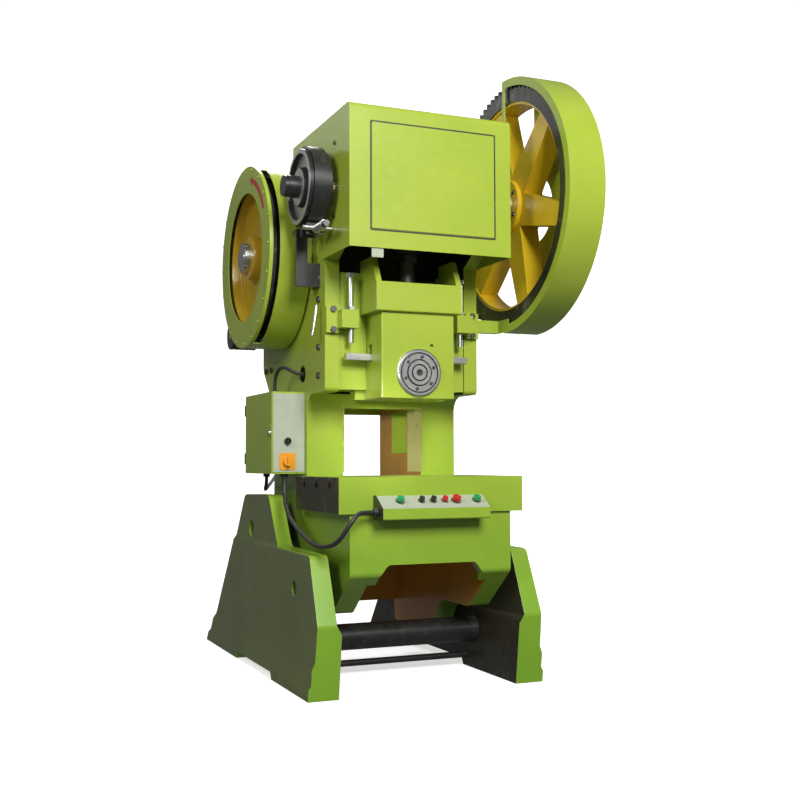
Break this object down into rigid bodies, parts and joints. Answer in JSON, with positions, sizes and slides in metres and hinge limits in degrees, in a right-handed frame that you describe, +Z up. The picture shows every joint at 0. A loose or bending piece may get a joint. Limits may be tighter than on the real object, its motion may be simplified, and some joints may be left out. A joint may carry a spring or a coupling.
{
  "type": "mechanical stamping press",
  "caption": "Open-back inclinable eccentric press with crank hood, spoked gear under a half guard, flywheel, slide, T-slot table and a two-hand button console.",
  "frame": {"origin": "on the floor, midway between the two legs, under the middle of their length", "axes": "+X to the operator's right, +Y to the back of the press, +Z up"},
  "size_m": [1.198, 1.9899, 2.59],
  "materials": {
    "green_paint": "gloss enamel on castings and sheet",
    "yellow_paint": "gloss enamel",
    "black_paint": "satin black",
    "bright_steel": "turned and oiled",
    "dark_steel": "black oxide, oiled",
    "bronze": "turned",
    "belt_rubber": "matt",
    "cable_sheath": "satin ribbed sheath",
    "pale_panel": "satin pale grey",
    "green_plastic": "gloss",
    "red_plastic": "gloss",
    "black_plastic": "gloss",
    "orange_plastic": "gloss"
  },
  "bodies": {
    "stand": {"left_leg": "green_paint", "right_leg": "green_paint", "pivot_pins": "black_paint", "lock_bolts": "black_paint", "tie_bars": "black_paint"},
    "frame": {"c_frame": "green_paint", "table": "green_paint", "frame_fasteners": "dark_steel", "bearing_bushes": "bronze", "gibs": "green_paint", "hood": "green_paint", "stop_brackets": "green_paint", "stop_screws": "bright_steel", "v_belts": "belt_rubber", "motor": "green_paint", "motor_bracket": "green_paint", "fan_cover": "green_paint", "flywheel_guard": "green_paint", "gear_guard": "green_paint", "brake_band": "black_paint", "brake_spring": "bright_steel", "brake_bracket": "black_paint", "console": "green_paint", "console_end_cap": "black_paint", "button_bezels": "bright_steel", "control_box": "green_paint", "box_front_panel": "pale_panel", "door_hinges": "black_paint", "cord_glands": "cable_sheath", "console_conduit": "cable_sheath", "motor_hose": "cable_sheath", "box_loop": "cable_sheath"},
    "crank": {"crankshaft": "bright_steel", "brake_drum": "black_paint", "shaft_collar": "bright_steel"},
    "rod": {"connecting_rod": "dark_steel", "rod_cap": "dark_steel", "rod_bolts": "dark_steel", "ball_screw": "dark_steel"},
    "slide": {"slide": "green_paint", "round_cover": "bright_steel"},
    "knockout": {"knockout_bar": "bright_steel"},
    "gear": {"spoked_gear": "yellow_paint", "gear_bush": "bronze"},
    "flywheel": {"flywheel": "yellow_paint", "back_shaft": "bright_steel", "pinion": "dark_steel", "flywheel_nut": "bright_steel"},
    "pulley": {"motor_pulley": "black_paint", "motor_shaft": "bright_steel"},
    "left_start": {"button_left_start": "green_plastic"},
    "jog": {"button_jog": "black_plastic"},
    "oil": {"button_oil": "black_plastic"},
    "stop": {"button_stop": "red_plastic"},
    "emergency": {"button_emergency": "red_plastic"},
    "right_start": {"button_right_start": "green_plastic"},
    "isolator": {"isolator_handle": "orange_plastic"},
    "selector": {"selector_knob": "black_plastic"},
    "door": {"box_door": "green_paint"},
    "latch": {"door_latch": "bright_steel"}
  },
  "joints": [
    {"name": "frame_tilt", "type": "hinge", "parent": "stand", "child": "frame", "pos_m": [0, 0.123, 0.604], "axis": [-1, 0, 0], "range_deg": [0, 20]},
    {"name": "crank_turn", "type": "hinge", "parent": "frame", "child": "crank", "pos_m": [0, -0.6, 2.03], "axis": [1, 0, 0], "range_deg": [0, 180]},
    {"name": "rod_turn", "type": "hinge", "parent": "crank", "child": "rod", "pos_m": [0, -0.6, 2.08], "axis": [1, 0, 0], "range_deg": [-180, 0]},
    {"name": "slide_travel", "type": "slide", "parent": "frame", "child": "slide", "axis": [0, 0, -1], "range_m": [0, 0.1]},
    {"name": "knockout_lift", "type": "slide", "parent": "slide", "child": "knockout", "axis": [0, 0, 1], "range_m": [0, 0.04]},
    {"name": "flywheel_spin", "type": "hinge", "parent": "frame", "child": "flywheel", "pos_m": [0, -0.007, 1.835], "axis": [1, 0, 0], "continuous": true},
    {"name": "gear_spin", "type": "hinge", "parent": "frame", "child": "gear", "pos_m": [0.54, -0.6, 2.03], "axis": [1, 0, 0], "continuous": true},
    {"name": "pulley_spin", "type": "hinge", "parent": "frame", "child": "pulley", "pos_m": [-0.465, 0.313, 1.515], "axis": [1, 0, 0], "continuous": true},
    {"name": "left_start_press", "type": "slide", "parent": "frame", "child": "left_start", "axis": [0, 0.5574, -0.8302], "range_m": [0, 0.004], "stiffness_N_per_m": 400},
    {"name": "jog_press", "type": "slide", "parent": "frame", "child": "jog", "axis": [0, 0.5574, -0.8302], "range_m": [0, 0.004], "stiffness_N_per_m": 400},
    {"name": "oil_press", "type": "slide", "parent": "frame", "child": "oil", "axis": [0, 0.5574, -0.8302], "range_m": [0, 0.004], "stiffness_N_per_m": 400},
    {"name": "stop_press", "type": "slide", "parent": "frame", "child": "stop", "axis": [0, 0.5574, -0.8302], "range_m": [0, 0.004], "stiffness_N_per_m": 400},
    {"name": "emergency_press", "type": "slide", "parent": "frame", "child": "emergency", "axis": [0, 0.5574, -0.8302], "range_m": [0, 0.004], "stiffness_N_per_m": 400},
    {"name": "right_start_press", "type": "slide", "parent": "frame", "child": "right_start", "axis": [0, 0.5574, -0.8302], "range_m": [0, 0.004], "stiffness_N_per_m": 400},
    {"name": "isolator_turn", "type": "hinge", "parent": "frame", "child": "isolator", "pos_m": [-0.43, -0.31, 0.912], "axis": [0, -1, 0], "range_deg": [0, 90]},
    {"name": "selector_turn", "type": "hinge", "parent": "frame", "child": "selector", "pos_m": [-0.43, -0.31, 1], "axis": [0, -1, 0], "range_deg": [0, 60]},
    {"name": "door_swing", "type": "hinge", "parent": "frame", "child": "door", "pos_m": [-0.498, 0.1255, 1.03], "axis": [0, 0, -1], "range_deg": [0, 110]},
    {"name": "latch_turn", "type": "hinge", "parent": "door", "child": "latch", "pos_m": [-0.498, -0.275, 1.035], "axis": [-1, 0, 0], "range_deg": [0, 90]}
  ],
  "couplings": [
    {"joint": "rod_turn", "follows": "crank_turn", "ratio": -1},
    {"joint": "slide_travel", "follows": "crank_turn", "m_per_rad": 0.03183},
    {"joint": "gear_spin", "follows": "flywheel_spin", "ratio": -0.18182},
    {"joint": "pulley_spin", "follows": "flywheel_spin", "ratio": 6.4815}
  ]
}
